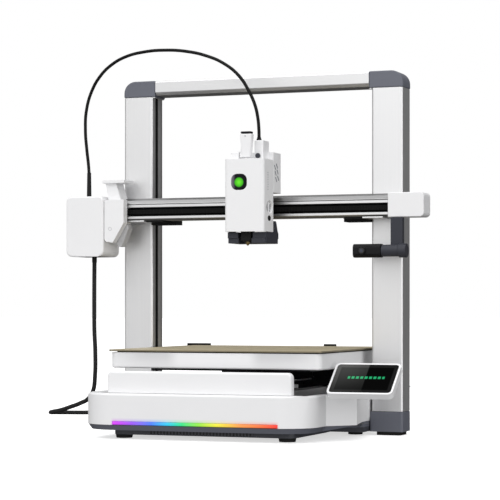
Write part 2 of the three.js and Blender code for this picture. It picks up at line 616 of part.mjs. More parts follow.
function addToolhead() {
  part('toolhead_cover', headCover(), white());
  part('toolhead_back', headBack(), white());
  part('head_carriage', headCarriage(), black());
  part('status_window', extrudeY(roundRect(WINDOW.left, WINDOW.right, WINDOW.bottom, WINDOW.top, WINDOW.radius),
    HEAD.front, HEAD.front + 2.2), glass());
  part('release_lever', releaseLever(), white());
  part('extruder_gear', cylinder('y', [5, -74.5, 285], 11, 6), darkSlate());
  part('tube_fitting', cylinder('z', [FITTING.x, FITTING.y, (FITTING.bottom + FITTING.top) / 2], 2.9,
    FITTING.top - FITTING.bottom, 12), black());
  part('fan_duct', fanDuct(), darkSlate());
  part('fan_rotor', cylinder('x', [30, -72, 285], 13, 8), black());
  part('hot_end', hotEnd(), brass());
}

// ---- cords --------------------------------------------------------------------------------------------
function cord(points, radius, sides, steps) {
  const path = new THREE.CatmullRomCurve3(points.map((p) => new THREE.Vector3(...p)));
  const ring = Array.from({ length: sides }, (_, i) => {
    const angle = (2 * Math.PI * i) / sides;
    return [radius * Math.cos(angle), radius * Math.sin(angle)];
  });
  return new THREE.ExtrudeGeometry(outline(ring), { steps, bevelEnabled: false, extrudePath: path });
}

function addCords() {
  part('filament_tube', cord(TUBE_ROUTE, TUBE_RADIUS, 8, 64), rubber());
  part('umbilical_cable', cord(CABLE_ROUTE, CABLE_RADIUS, 8, 40), rubber());
}

addBase();
addElectronics();
addSwitchAndPulley();
addFrame();
addBed();
addGantry();
addToolhead();
addCords();

export default printer;
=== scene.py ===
"""Looks of a desktop filament printer, built piece by piece around its fixed frame."""
import math
from contextlib import contextmanager

import bmesh
import bpy
from mathutils import Matrix, Vector


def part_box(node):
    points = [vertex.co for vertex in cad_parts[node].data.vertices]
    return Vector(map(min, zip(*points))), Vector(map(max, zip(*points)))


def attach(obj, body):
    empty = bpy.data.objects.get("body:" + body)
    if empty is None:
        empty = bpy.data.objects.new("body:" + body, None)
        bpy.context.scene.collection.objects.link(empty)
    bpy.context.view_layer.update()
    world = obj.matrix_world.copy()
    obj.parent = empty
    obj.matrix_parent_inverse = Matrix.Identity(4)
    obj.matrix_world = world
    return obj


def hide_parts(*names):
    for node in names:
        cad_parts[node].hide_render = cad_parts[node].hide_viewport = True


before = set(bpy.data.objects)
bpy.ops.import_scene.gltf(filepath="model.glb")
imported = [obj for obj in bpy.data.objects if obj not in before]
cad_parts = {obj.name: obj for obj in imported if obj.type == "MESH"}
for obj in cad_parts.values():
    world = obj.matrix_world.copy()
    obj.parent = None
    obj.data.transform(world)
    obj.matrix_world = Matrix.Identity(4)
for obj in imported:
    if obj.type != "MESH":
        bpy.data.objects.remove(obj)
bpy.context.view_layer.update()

bl_info = {
    "name": "Filament Printer Looks",
    "version": (1, 0, 0),
    "blender": (4, 5, 0),
    "location": "View3D > Sidebar > Printer",
    "description": "Builds the detailed pieces, finishes and studio of a desktop filament printer",
    "category": "Object",
}

MM = 0.001
# The plan's origin is midway between the columns, in line with their front faces, on the floor.
PLAN_ORIGIN = Vector((0.01175, 0.0105, 0.0))

TUBE_ROUTE = [
    (23.5, -65, 363.3), (23.3, -65, 372), (22, -65, 386), (18, -64, 402), (9, -63, 421), (-5, -60, 440),
    (-25, -57, 455.5), (-52, -52, 467.5), (-81, -48, 474.7), (-110, -43, 478), (-140, -38, 478),
    (-169, -34, 473.3), (-191, -30, 464), (-206, -28, 452), (-219, -26, 434), (-227.5, -25, 409),
    (-229.5, -24, 383), (-227.5, -24, 358), (-225.3, -24, 340), (-224.4, -24, 329.3),
]
CABLE_ROUTE = [
    (-216.7, -24, 213.9), (-216.9, -24, 190), (-217, -24, 158), (-216.8, -24, 127), (-215.5, -24, 97),
    (-216, -24, 68), (-219, -23, 50), (-228, -19, 39), (-243, -12, 32.5), (-261, -4, 27), (-280, 6, 22),
    (-297, 17, 19), (-306, 30, 17.3), (-305, 43, 16.6), (-292, 54, 16.2), (-266, 60, 16.4), (-235, 61, 18),
    (-205, 60, 21.5), (-177, 60, 25.5), (-151.3, 60, 27),
]
RAINBOW = [
    (0.0, (0.75, 0.05, 0.95)), (0.12, (0.35, 0.1, 0.95)), (0.24, (0.08, 0.22, 1.0)), (0.34, (0.03, 0.6, 0.9)),
    (0.43, (0.03, 0.8, 0.25)), (0.53, (0.3, 0.85, 0.06)), (0.64, (0.9, 0.85, 0.05)),
    (0.78, (1.0, 0.35, 0.08)), (1.0, (0.95, 0.04, 0.03)),
]


def at(x, y, z):
    """A point of the plan, given in millimetres, in the frame's metres."""
    return Vector((x, y, z)) * MM + PLAN_ORIGIN


# ---- shader maths ---------------------------------------------------------------------------------------
class Wire:
    """One value in a finish. Arithmetic on it adds the Math nodes that work it out."""

    def __init__(self, finish, socket):
        self.finish = finish
        self.socket = socket

    def _maths(self, operation, first, second=None):
        terms = {0: first} if second is None else {0: first, 1: second}
        return self.finish.node("ShaderNodeMath", {"operation": operation}, terms)

    def __add__(self, other):
        return self._maths("ADD", self, other)

    __radd__ = __add__

    def __mul__(self, other):
        return self._maths("MULTIPLY", self, other)

    __rmul__ = __mul__

    def __sub__(self, other):
        return self._maths("SUBTRACT", self, other)

    def __rsub__(self, other):
        return self._maths("SUBTRACT", other, self)

    def __truediv__(self, other):
        return self._maths("DIVIDE", self, other)

    def __pow__(self, other):
        return self._maths("POWER", self, other)

    def __abs__(self):
        return self._maths("ABSOLUTE", self)

    def sine(self):
        return self._maths("SINE", self)

    def fraction(self):
        return self._maths("FRACT", self)

    def root(self):
        return self._maths("SQRT", self)

    def rise(self, low, high):
        """0 below low, 1 above high, and a smooth step between them."""
        return self.finish.node(
            "ShaderNodeMapRange", {"interpolation_type": "SMOOTHSTEP"},
            {"Value": self, "From Min": low, "From Max": high})

    def within(self, low, high, soft):
        """1 between low and high and 0 outside, with soft edges."""
        return self.rise(low - soft, low + soft) * (1 - self.rise(high - soft, high + soft))


class NodeBench:
    """Adds nodes to one node tree."""

    def __init__(self, owner):
        owner.use_nodes = True
        self.tree = owner.node_tree
        self.tree.nodes.clear()

    def read_axes(self, place):
        """The three coordinates of the surface, or of the direction in a world."""
        self.point = self.node("ShaderNodeTexCoord", output=place)
        self.x, self.y, self.z = (
            self.node("ShaderNodeSeparateXYZ", None, {0: self.point}, i) for i in range(3))

    def node(self, kind, settings=None, values=None, output=0):
        """Adds a node with its settings, then its sockets' values or links, and returns one output."""
        made = self.tree.nodes.new(kind)
        for name, value in (settings or {}).items():
            if name == "stops":
                self._set_stops(made.color_ramp, value)
            else:
                setattr(made, name, value)
        for name, value in (values or {}).items():
            self._feed(made.inputs[name], value)
        return made if output is None else Wire(self, made.outputs[output])

    def _set_stops(self, ramp, stops):
        while len(ramp.elements) < len(stops):
            ramp.elements.new(1.0)
        for element, (place, colour) in zip(ramp.elements, stops):
            element.position = place
            element.color = (*colour, 1.0)

    def _feed(self, socket, value):
        if isinstance(value, Wire):
            self.tree.links.new(value.socket, socket)
        elif socket.type == "RGBA":
            socket.default_value = (*value[:3], 1.0)
        else:
            socket.default_value = value



class Finish(NodeBench):
    """A material made of nodes around one Principled shader."""

    def __init__(self, name):
        self.material = bpy.data.materials.new(name)
        super().__init__(self.material)
        self.shader = self.tree.nodes.new("ShaderNodeBsdfPrincipled")
        output = self.tree.nodes.new("ShaderNodeOutputMaterial")
        self.tree.links.new(self.shader.outputs[0], output.inputs[0])
        self.read_axes("Object")

    def noise(self, scale, detail=2.0, stretch=(1, 1, 1)):
        along = self.node("ShaderNodeVectorMath", {"operation": "MULTIPLY"}, {0: self.point, 1: stretch})
        return self.node("ShaderNodeTexNoise", None, {"Vector": along, "Scale": scale, "Detail": detail}, 0)

    def cells(self, scale, output="Distance"):
        return self.node("ShaderNodeTexVoronoi", None, {"Vector": self.point, "Scale": scale}, output)

    def mix(self, amount, first, second):
        return self.node("ShaderNodeMix", {"data_type": "RGBA"}, {0: amount, 6: first, 7: second}, 2)

    def ramp(self, amount, stops):
        return self.node("ShaderNodeValToRGB", {"stops": stops}, {0: amount})

    def distance(self, x, y, z):
        """How far each point lies from a point of the frame, in metres."""
        return self.node(
            "ShaderNodeVectorMath", {"operation": "DISTANCE"}, {0: self.point, 1: (x, y, z)}, "Value")

    def shade(self, bump=None, **sockets):
        """Sets the shader's sockets, and its bump from (height, strength, depth in metres)."""
        for name, value in sockets.items():
            self._feed(self.shader.inputs[name.replace("_", " ").title().replace("Ior", "IOR")], value)
        if bump:
            height, strength, depth = bump
            normal = self.node(
                "ShaderNodeBump", None, {"Strength": strength, "Distance": depth, "Height": height})
            self._feed(self.shader.inputs["Normal"], normal)
        return self.material


# ---- finishes -------------------------------------------------------------------------------------------
def scaled(colour, factor):
    return tuple(min(1.0, c * factor) for c in colour[:3])


def moulded(name, colour, roughness, gloss=0.5, grain=0.00004):
    """Moulded plastic: a fine spark-eroded grain, with faint flow marks in its colour."""
    finish = Finish(name)
    speck = finish.noise(1400, 3)
    flow = finish.noise(14, 2)
    return finish.shade(
        base_color=finish.mix(flow, scaled(colour, 0.965), scaled(colour, 1.02)),
        roughness=speck * 0.12 + (roughness - 0.06), specular_ior_level=gloss,
        bump=(speck, 0.25, grain))


def anodised(name, colour, roughness, stretch, dark=None, metallic=0.93, shaded_faces=None):
    """Satin anodised aluminium with fine drawn lines.

    dark(finish) masks hollows painted near-black as painted shade, and the band mask picks faces painted
    darker as painted shade.
    """
    finish = Finish(name)
    lines = finish.noise(900, 3, stretch)
    broad = finish.noise(30, 2, stretch)
    tone = finish.mix(lines * 0.6 + broad * 0.4, scaled(colour, 0.93), scaled(colour, 1.04))
    sheen = lines * 0.14 + (roughness - 0.07)
    shine = metallic
    if shaded_faces is not None:
        # Painted shade: the band mask darkens whole faces that turn away from the light.
        tone = finish.mix(shaded_faces(finish), tone, scaled(colour, 0.28))
    if dark is not None:
        # Painted shade: the hollows turn near-black and lose their shine.
        shadow = dark(finish)
        tone = finish.mix(shadow, tone, (0.004, 0.004, 0.005))
        sheen = shadow * (0.75 - roughness) + sheen
        shine = (1 - shadow) * metallic
    return finish.shade(base_color=tone, metallic=shine, roughness=sheen, bump=(lines, 0.12, 0.00003))


def column_hollow_shade(finish):
    """Painted shade: the inside of both columns and the edges of their slots, painted near-black."""
    side = abs(finish.x - PLAN_ORIGIN.x)
    depth = finish.y - PLAN_ORIGIN.y
    inside = side.within(0.1485, 0.1835, 0.0003) * depth.within(0.0025, 0.0311, 0.0003)
    slot = (1 - side.rise(0.15, 0.1502)) * depth.within(0.0092, 0.0176, 0.0002)
    return (inside + slot).rise(0, 1)


def column_rear_shade(finish):
    """Painted shade on the rear corner of each column's inner side."""
    side = abs(finish.x - PLAN_ORIGIN.x)
    return (1 - side.rise(0.1468, 0.147)) * (finish.y - PLAN_ORIGIN.y).rise(0.0262, 0.0266) * 0.5


def cross_underside_shade(finish):
    """Painted shade on the top beam's sloping underside."""
    return (1 - finish.z.rise(0.4302, 0.4312)) * 0.6


def beam_slot_shade(finish):
    """Painted shade in the belt slot along the beam's front, with its edges, and on the lower corner."""
    slot = finish.z.within(0.2711, 0.2827, 0.0001) * (1 - (finish.y - PLAN_ORIGIN.y).rise(-0.009, -0.0088))
    return slot + (1 - finish.z.rise(0.2665, 0.2675)) * 0.6


def beam_face_shade(finish):
    """Painted shade on the beam's chamfers, its groove and its sloping top."""
    slope = finish.z.within(0.2872, 0.2918, 0.0001)
    groove = finish.z.within(0.2858, 0.287, 0.0001)
    bevels = finish.z.rise(0.2916, 0.2918) + (1 - finish.z.rise(0.2681, 0.2683)) + groove
    front = 1 - (finish.y - PLAN_ORIGIN.y).rise(-0.0262, -0.026)
    return (slope * 0.9 + bevels) * front


def soft_rubber(name, tone=0.012, roughness=0.7):
    finish = Finish(name)
    dust = finish.noise(700, 4)
    return finish.shade(
        base_color=finish.mix(dust, (tone * 0.7,) * 3, (tone * 1.6,) * 3),
        roughness=dust * 0.2 + (roughness - 0.1), specular_ior_level=0.15, bump=(dust, 0.3, 0.00006))


def toothed_belt():
    finish = Finish("belt rubber")
    teeth = (finish.x * (2 * math.pi / 0.002)).sine() + (finish.y * (2 * math.pi / 0.002)).sine()
    return finish.shade(
        base_color=finish.mix(teeth.rise(-1, 1), (0.004, 0.004, 0.004), (0.016, 0.016, 0.016)),
        roughness=0.6, specular_ior_level=0.1, bump=(teeth, 0.5, 0.0004))


def threaded_steel():
    finish = Finish("threaded steel")
    turns = (finish.z * (2 * math.pi / 0.002)).sine()
    wear = finish.noise(300, 3)
    return finish.shade(
        base_color=finish.mix(turns.rise(-1, 1), (0.2, 0.2, 0.21), (0.55, 0.55, 0.56)),
        metallic=1.0, roughness=wear * 0.15 + 0.25, bump=(turns, 0.8, 0.0006))


def perforated_steel():
    """Folded steel with rows of round vent holes."""
    finish = Finish("perforated steel")
    across = (finish.x / 0.006).fraction() - 0.5
    along = (finish.y / 0.006).fraction() - 0.5
    hole = 1 - (across * across + along * along).root().rise(0.26, 0.3)
    field = (finish.y - PLAN_ORIGIN.y).within(-0.11, 0.05, 0.001) * finish.z.rise(0.0315, 0.0318)
    drawn = finish.noise(500, 3, (1, 0.05, 1))
    steel = finish.mix(drawn, (0.42, 0.42, 0.43), (0.6, 0.6, 0.61))
    return finish.shade(
        base_color=finish.mix(hole * field, steel, (0.01, 0.01, 0.01)),
        metallic=1 - hole * field, roughness=drawn * 0.2 + 0.3, bump=(drawn, 0.1, 0.00003))


def circuit_board():
    """A green board with copper tracks, pale pads and dark chips."""
    finish = Finish("circuit board")
    track = finish.cells(240, "Distance")
    chip = finish.cells(55, "Color")
    value = finish.node("ShaderNodeSeparateColor", None, {0: chip}, 0)
    green = finish.mix(track.rise(0.2, 0.5), (0.01, 0.11, 0.04), (0.03, 0.22, 0.09))
    dressed = finish.mix(value.rise(0.72, 0.74), green, (0.015, 0.015, 0.017))
    return finish.shade(
        base_color=finish.mix(track.rise(0.03, 0.1), (0.6, 0.58, 0.5), dressed),
        roughness=track * 0.2 + 0.35, bump=(value.rise(0.72, 0.74) + track * 0.3, 0.5, 0.0006))


def textured_plate(colour):
    """Powder-coated spring steel: a sparkling sand-like skin, with painted shade darkening its edges."""
    finish = Finish("textured plate")
    sand = finish.noise(2600, 4)
    patch = finish.noise(22, 3)
    grains = finish.mix(sand.rise(0.35, 0.7), scaled(colour, 0.72), scaled(colour, 1.15))
    # Painted shade: below the top skin, the plate's edges are darkened.
    edge = finish.z.rise(0.1057, 0.1059)
    return finish.shade(
        base_color=finish.mix(
            edge, scaled(colour, 0.45), finish.mix(patch * 0.35, grains, scaled(colour, 0.9))),
        metallic=0.25, roughness=sand * 0.3 + 0.35, bump=(sand, 0.5, 0.0001))


def light_strip():
    finish = Finish("light strip")
    along = (finish.x - at(-116.3, 0, 0).x) / 0.2074
    colours = finish.ramp(along, RAINBOW)
    return finish.shade(
        base_color=finish.mix(0.55, colours, (0, 0, 0)), roughness=finish.noise(900, 2) * 0.1 + 0.3,
        emission_color=colours,
        emission_strength=0.6)


def strip_glow_plastic(colour):
    """The base's white plastic, with a painted glow of the strip's colours a little way up its front."""
    finish = Finish("white plastic with painted glow")
    speck = finish.noise(1400, 3)
    flow = finish.noise(14, 2)
    plain = finish.mix(flow, scaled(colour, 0.94), scaled(colour, 0.99))
    along = (finish.x - at(-116.3, 0, 0).x) / 0.2074
    colours = finish.ramp(along, RAINBOW)
    # Painted light: the strip's colours glow on the white just above it.
    painted_glow = (1 - finish.z.rise(0.0205, 0.0268)) * along.within(0.0, 1.0, 0.015)
    front = 1 - (finish.y - PLAN_ORIGIN.y).rise(-0.1865, -0.184)
    return finish.shade(
        base_color=finish.mix(painted_glow * front * 0.55, plain, colours),
        roughness=speck * 0.12 + 0.34, bump=(speck, 0.25, 0.00004))


def shaded_rim_plastic(colour):
    """The bed rim's white plastic, with painted shade greying it on both sides of its middle, under the
    plate's overhang.
    """
    finish = Finish("bed rim plastic with painted shade")
    speck = finish.noise(1400, 3)
    flow = finish.noise(14, 2)
    plain = finish.mix(flow, scaled(colour, 0.98), scaled(colour, 1.05))
    # Painted shade: grey on both sides of the middle and towards the top of the front, where the plate
    # overhangs.
    across = abs(finish.x - PLAN_ORIGIN.x)
    sides = across.rise(0.042, 0.062) * (1 - across.rise(0.085, 0.14) * 0.75)
    upper = finish.z.rise(0.083, 0.1) * 0.7 + 0.3
    front = 1 - (finish.y - PLAN_ORIGIN.y).rise(-0.157, -0.155)
    return finish.shade(
        base_color=finish.mix(sides * upper * front * 0.5, plain, (0.36, 0.36, 0.37)),
        roughness=speck * 0.12 + 0.34, bump=(speck, 0.25, 0.00004))


def vented_plastic(colour):
    """The tray's slate plastic, with a row of dark vent slots along its lower front and painted shade
    darkening its set-back lower band.
    """
    finish = Finish("vented slate plastic")
    speck = finish.noise(1400, 3)
    along = finish.x - PLAN_ORIGIN.x
    slots = (along / 0.0042).fraction().within(0.2, 0.72, 0.06)
    row = finish.z.within(0.0062, 0.0098, 0.0003) * along.within(-0.079, 0.052, 0.0003)
    front = 1 - (finish.y - PLAN_ORIGIN.y).rise(-0.150, -0.148)
    # Painted shade: the lower band, set back under the base, is darkened.
    lower = 1 - finish.z.rise(0.0105, 0.0115)
    grained = finish.mix(speck, scaled(colour, 0.9), scaled(colour, 1.08))
    tone = finish.mix(lower * 0.75, grained, (0.02, 0.021, 0.028))
    return finish.shade(
        base_color=finish.mix(slots * row * front, tone, (0.002, 0.002, 0.003)),
        roughness=speck * 0.12 + 0.45, bump=(speck - slots * row * front * 3, 0.3, 0.0004))


def screen_face():
    """The touch screen: a dark display inside its border, with a plain row of green progress blocks and a
    painted reflection on its left half.
    """
    finish = Finish("screen face")
    middle = at(179.8, -138.8, 74.7)
    tilt = math.radians(38.7)
    across = (finish.x - middle.x) / 0.0395
    up = ((finish.y - middle.y) * math.cos(tilt) + (finish.z - middle.z) * math.sin(tilt)) / 0.027
    display = across.within(-0.8, 0.82, 0.008) * up.within(-0.74, 0.72, 0.012)
    # Painted reflection: a grey sheen over the left half of the glass, fading downwards.
    painted_glare = (1 - across.rise(0.03, 0.05)) * (up.rise(-1.1, 1.1) * 0.7 + 0.12)
    sheen = painted_glare * (1 - across.rise(-1.0, 0.4) * 0.55)
    border = finish.mix(sheen, (0.01, 0.01, 0.01), (0.12, 0.12, 0.118))
    face = finish.mix(sheen, (0.0012, 0.0012, 0.0012), (0.07, 0.072, 0.07))
    blocks = (across * 7.5).fraction().within(0.12, 0.78, 0.05) * across.within(-0.5, 0.62, 0.01)
    bar = blocks * up.within(-0.02, 0.13, 0.02)
    return finish.shade(
        base_color=finish.mix(display, border, face), roughness=finish.noise(60, 2) * 0.04 + 0.12,
        ior=1.03,
        emission_color=finish.mix(bar, (0, 0, 0), (0.02, 0.42, 0.16)), emission_strength=1.0)


def status_glass():
    """A smoked lens with a round green light behind it and a painted highlight on its left side."""
    finish = Finish("status lens")
    middle = at(6.85, -90, 307.8)
    reach = (abs(finish.x - middle.x) ** 2.0 + abs(finish.z - middle.z + 0.0004) ** 2.0).root()
    glow = 1 - reach.rise(0.0048, 0.0064)
    heart = 1 - reach.rise(0.0, 0.0058)
    green = finish.mix(heart, (0.04, 0.33, 0.01), (0.16, 0.72, 0.03))
    # Painted highlight: the lens is lighter on its left side and smoked dark elsewhere.
    smoke_and_highlight = finish.mix((finish.x - middle.x).rise(-0.009, -0.004), (0.16, 0.15, 0.18), (0.008, 0.008, 0.01))
    return finish.shade(
        base_color=finish.mix(glow, smoke_and_highlight, (0.02, 0.2, 0.01)), roughness=finish.noise(200, 2) * 0.05 + 0.12,
        ior=1.15, emission_color=finish.mix(glow, (0, 0, 0), green), emission_strength=0.9)


def lens_glass():
    finish = Finish("camera lens")
    ring = finish.distance(*at(148.4, -48, 224.5)).rise(0.0012, 0.0028)
    return finish.shade(
        base_color=finish.mix(ring, (0.03, 0.035, 0.06), (0.006, 0.006, 0.007)), roughness=ring * 0.3 + 0.05)


def turned_brass():
    finish = Finish("turned brass")
    rings = (finish.z * 9000).sine()
    soot = finish.noise(260, 3)
    return finish.shade(
        base_color=finish.mix(soot, (0.3, 0.23, 0.11), (0.12, 0.1, 0.06)), metallic=1.0,
        roughness=soot * 0.25 + 0.2, bump=(rings, 0.1, 0.00005))


def woven_sleeve(name, pitch):
    """A braided black sleeve over a cable."""
    finish = Finish(name)
    one = (finish.z * pitch + finish.x * pitch).sine()
    other = (finish.z * pitch - finish.x * pitch).sine()
    weave = one * other
    fuzz = finish.noise(1200, 3)
    return finish.shade(
        base_color=finish.mix(weave.rise(-1, 1), (0.006, 0.006, 0.006), (0.03, 0.03, 0.031)),
        roughness=fuzz * 0.2 + 0.5, specular_ior_level=0.15, bump=(weave + fuzz * 0.4, 0.5, 0.0002))


FINISHES = {}


def finish_of(key):
    """The finish of that name, made once."""
    looks = bpy.context.scene.printer_looks
    makers = {
        "white": lambda: moulded("white plastic", looks.white, 0.4),
        "lit": lambda: strip_glow_plastic(looks.white),
        "slate": lambda: moulded("slate plastic", looks.slate, 0.5),
        "tray": lambda: vented_plastic(looks.slate),
        "dark": lambda: moulded("dark slate plastic", looks.dark, 0.45, 0.25),
        "black": lambda: moulded("black plastic", (0.007, 0.007, 0.008), 0.5, 0.15),
        "grey": lambda: moulded("grey plastic", (0.5, 0.5, 0.51), 0.45),
        "motor": lambda: moulded("motor lacquer", (0.012, 0.012, 0.013), 0.4, 0.2),
        "column": lambda: anodised(
            "column aluminium", looks.metal, 0.42, (1, 1, 0.012), column_hollow_shade, shaded_faces=column_rear_shade),
        "beam": lambda: anodised(
            "beam aluminium", looks.metal, 0.36, (0.012, 1, 1), beam_slot_shade, shaded_faces=beam_face_shade),
        "cross": lambda: anodised("top beam aluminium", scaled(looks.metal, 0.95), 0.4, (0.012, 1, 1),
                                  shaded_faces=cross_underside_shade),
        "rail": lambda: anodised(
            "rail aluminium", scaled(looks.metal, 0.7), 0.5, (1, 0.012, 1), metallic=0.6),
        "rim": lambda: shaded_rim_plastic(looks.white),
        "clamp": lambda: anodised("clamp aluminium", looks.metal, 0.4, (0.012, 1, 1)),
        "rubber": lambda: soft_rubber("rubber"),
        "sleeve": lambda: woven_sleeve("cable sleeve", 2600),
        "tube": lambda: soft_rubber("tube plastic", 0.004, 0.5),
        "belt": toothed_belt,
        "thread": threaded_steel,
        "supply": perforated_steel,
        "circuit": circuit_board,
        "plate": lambda: textured_plate(looks.plate),
        "strip": light_strip,
        "screen": screen_face,
        "status": status_glass,
        "lens": lens_glass,
        "brass": turned_brass,
    }
    if key not in FINISHES:
        FINISHES[key] = makers[key]()
    return FINISHES[key]


# ---- modelling ------------------------------------------------------------------------------------------
def only(piece):
    """Selects this piece alone and makes it active."""
    bpy.ops.object.select_all(action="DESELECT")
    piece.select_set(True)
    bpy.context.view_layer.objects.active = piece
    return piece


@contextmanager
def shaping(piece, kind="FACE"):
    """Edit mode on one piece, with nothing selected."""
    only(piece)
    bpy.ops.object.mode_set(mode="EDIT")
    bpy.ops.mesh.select_mode(type=kind)
    bpy.ops.mesh.select_all(action="DESELECT")
    yield
    bpy.ops.object.mode_set(mode="OBJECT")


def pick_faces(piece, wanted):
    """Selects the faces whose centre and normal pass the test."""
    mesh = bmesh.from_edit_mesh(piece.data)
    for face in mesh.faces:
        face.select_set(bool(wanted(face.calc_center_median(), face.normal)))
    bmesh.update_edit_mesh(piece.data)


def pick_edges(piece, wanted):
    """Selects the edges whose two ends pass the test."""
    mesh = bmesh.from_edit_mesh(piece.data)
    for edge in mesh.edges:
        edge.select_set(bool(wanted(edge.verts[0].co, edge.verts[1].co)))
    bmesh.update_edit_mesh(piece.data)


def bevelled(piece, width, steps, wanted, **settings):
    """Bevels the edges that wanted(a, b) picks."""
    with shaping(piece, "EDGE"):
        pick_edges(piece, wanted)
        bpy.ops.mesh.bevel(offset=width, segments=steps, profile=0.5, affect="EDGES", **settings)


def apply_changes(piece, kind, **settings):
    """Adds one modifier with its settings and applies it."""
    only(piece)
    change = piece.modifiers.new(kind, kind)
    for name, value in settings.items():
        setattr(change, name, value)
    bpy.ops.object.modifier_apply(modifier=change.name)


def rounded(piece, radius, steps=3, angle=30):
    """Rounds every edge that turns by more than the angle, radius in millimetres."""
    apply_changes(piece, "BEVEL", width=radius * MM, segments=steps, limit_method="ANGLE",
                  angle_limit=math.radians(angle))
    bpy.ops.object.shade_smooth_by_angle(angle=math.radians(angle + 8))
    apply_changes(piece, "WEIGHTED_NORMAL", keep_sharp=True)
    return piece


def placed(name):
    """Names the new primitive and moves its place into its mesh."""
    piece = bpy.context.object
    piece.name = name
    only(piece)
    bpy.ops.object.transform_apply(location=True, rotation=True, scale=True)
    return piece


def block(name, low, high):
    """A block between two corners of the plan, in millimetres."""
    low, high = at(*low), at(*high)
    bpy.ops.object.select_all(action="DESELECT")
    bpy.ops.mesh.primitive_cube_add(size=1, location=(low + high) / 2, scale=high - low)
    return placed(name)


TURNS = {"x": (0, math.pi / 2, 0), "y": (math.pi / 2, 0, 0), "z": (0, 0, 0)}


def rod(name, axis, centre, radius, length, sides=40, tip=None):
    """A round bar, or a cone where tip gives its other end's radius, in millimetres."""
    bpy.ops.object.select_all(action="DESELECT")
    bpy.ops.mesh.primitive_cone_add(
        vertices=sides, radius1=radius * MM, radius2=(radius if tip is None else tip) * MM,
        depth=length * MM, location=at(*centre), rotation=TURNS[axis])
    return placed(name)


def ring(name, axis, centre, radius, thick, sides=40):
    """A round wire ring about an axis, in millimetres."""
    bpy.ops.object.select_all(action="DESELECT")
    bpy.ops.mesh.primitive_torus_add(
        major_radius=radius * MM, minor_radius=thick * MM, major_segments=sides, minor_segments=10,
        location=at(*centre), rotation=TURNS[axis])
    return placed(name)


def drawn(name, axis, outline, start, end):
    """A shape of points in the plan's other two directions, drawn out along the axis from start to end."""
    bpy.ops.object.select_all(action="DESELECT")
    bpy.ops.mesh.primitive_circle_add(vertices=len(outline), fill_type="NGON", radius=0.01)
    piece = placed(name)
    with shaping(piece):
        mesh = bmesh.from_edit_mesh(piece.data)
        mesh.verts.ensure_lookup_table()
        for vertex, (a, b) in zip(mesh.verts, outline):
            vertex.co = at(*{"x": (start, a, b), "y": (a, start, b), "z": (a, b, start)}[axis])
        bmesh.update_edit_mesh(piece.data)
        bpy.ops.mesh.select_all(action="SELECT")
        step = Vector([(end - start) * MM if axis == other else 0 for other in "xyz"])
        bpy.ops.mesh.extrude_region_move(TRANSFORM_OT_translate={"value": step})
        bpy.ops.mesh.select_all(action="SELECT")
        bpy.ops.mesh.normals_make_consistent(inside=False)
    return piece


def softened(node, name):
    """A merged copy of a frame node, ready to be rounded and cut."""
    piece = bpy.data.objects.new(name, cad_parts[node].data.copy())
    bpy.context.scene.collection.objects.link(piece)
    with shaping(piece):
        bpy.ops.mesh.customdata_custom_splitnormals_clear()
        bpy.ops.mesh.select_all(action="SELECT")
        bpy.ops.mesh.remove_doubles(threshold=0.00001)
        bpy.ops.mesh.dissolve_limited(angle_limit=math.radians(2))
    return piece


def parted(node, upper, lower, height):
    """A frame node as two pieces, above and below a level cut, in metres."""
    pieces = softened(node, upper), softened(node, lower)
    for piece, above in zip(pieces, (True, False)):
        with shaping(piece):
            bpy.ops.mesh.select_all(action="SELECT")
            bpy.ops.mesh.bisect(
                plane_co=(0, 0, height + (0.0001 if above else 0)), plane_no=(0, 0, 1), use_fill=True,
                clear_inner=above, clear_outer=not above)
    return pieces


def carved(piece, *cutters):
    """Cuts the cutters out of the piece and removes them."""
    for cutter in cutters:
        apply_changes(piece, "BOOLEAN", operation="DIFFERENCE", object=cutter, solver="EXACT")
        bpy.data.objects.remove(cutter)
    return piece


def merged(name, *parts):
    """Several shapes as one piece."""
    bpy.ops.object.select_all(action="DESELECT")
    for shape in parts:
        shape.select_set(True)
    bpy.context.view_layer.objects.active = parts[0]
    bpy.ops.object.join()
    parts[0].name = name
    return parts[0]


def fitted(piece, body, slot, finish, *nodes):
    """Dresses a piece, mounts it on its body, and hides the frame nodes it stands for."""
    piece.data.materials.clear()
    piece.data.materials.append(finish_of(finish))
    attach(piece, body)
    if nodes:
        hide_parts(*nodes)
    return piece


def finished(piece, radius, steps, body, slot, finish, *nodes):
    """Rounds a piece's edges, then dresses and mounts it."""
    return fitted(rounded(piece, radius, steps), body, slot, finish, *nodes)


def copies_of_nodes(rows):
    """Rounds and dresses frame nodes: rows of (node, piece, body, slot, finish, radius)."""
    for node, name, body, slot, finish, radius in rows:
        fitted(rounded(softened(node, name), radius), body, slot, finish, node)


# ---- sizes and colours ----------------------------------------------------------------------------------
def colour_setting(label, text, default):
    return bpy.props.FloatVectorProperty(
        name=label, description=text, default=default, size=3, min=0.0, max=1.0, subtype="COLOR")


class PrinterLooks(bpy.types.PropertyGroup):
    """Colours of the printer's finishes."""
    white: colour_setting("White", "Colour of the white mouldings", (0.84, 0.84, 0.85))
    slate: colour_setting("Slate", "Colour of the caps, feet and tray", (0.125, 0.132, 0.162))
    dark: colour_setting("Dark slate", "Colour of the fan duct", (0.035, 0.037, 0.048))
    metal: colour_setting("Metal", "Colour of the anodised aluminium", (0.75, 0.75, 0.755))
    plate: colour_setting("Plate", "Colour of the build plate's coating", (0.5, 0.43, 0.28))


class PrinterSizes(bpy.types.PropertyGroup):
    """Sizes that a user may change."""
    tube: bpy.props.FloatProperty(
        name="Tube diameter", description="Outer diameter of the filament tube", default=0.004,
        min=0.003, max=0.005, subtype="DISTANCE", unit="LENGTH")
    cable: bpy.props.FloatProperty(
        name="Cable diameter", description="Outer diameter of the control box's cable", default=0.0055,
        min=0.004, max=0.007, subtype="DISTANCE", unit="LENGTH")


